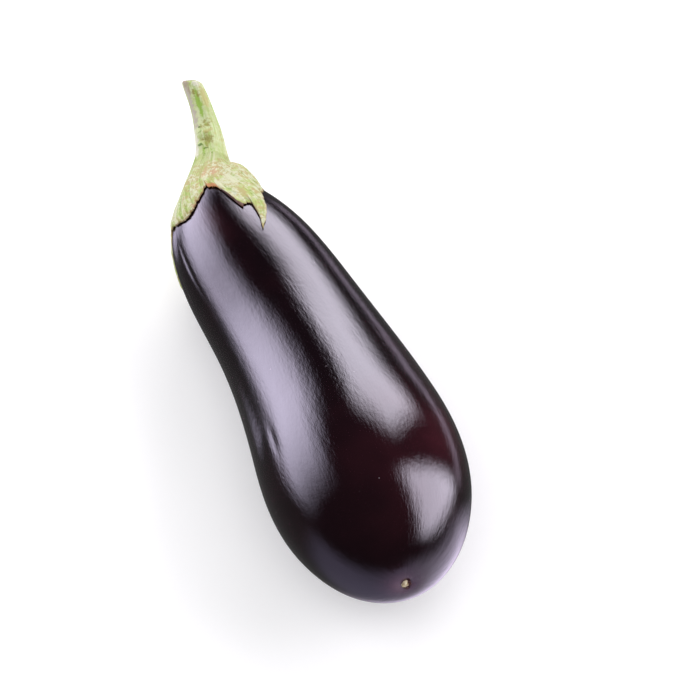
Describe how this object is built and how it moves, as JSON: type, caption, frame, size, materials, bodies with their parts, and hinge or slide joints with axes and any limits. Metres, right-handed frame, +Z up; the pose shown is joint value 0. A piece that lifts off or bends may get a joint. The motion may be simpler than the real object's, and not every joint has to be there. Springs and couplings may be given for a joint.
{
  "type": "eggplant",
  "caption": "Whole glossy dark purple eggplant lying on its belly: a gently bent pear-shaped fruit with a green lobed calyx, a curved cut stem and a corky blossom scar.",
  "frame": {"origin": "middle of the small flat spot on the underside of the belly, on the surface the eggplant lies on", "axes": "+Z up from the surface; +Y along the fruit towards the stem end; +X to the right, seen from the blossom end"},
  "size_m": [0.096, 0.2775, 0.0889],
  "materials": {
    "skin": "very glossy, nearly black purple skin",
    "calyx": "matt pale green with tan blotches and fibrous ridges",
    "stem": "matt pale green with grooves, tan patches and a dry grey cut end",
    "cork": "matt tan cork"
  },
  "bodies": {
    "root": {"fruit": "skin", "calyx": "calyx", "stem": "stem", "blossom_scar": "cork"}
  },
  "joints": []
}
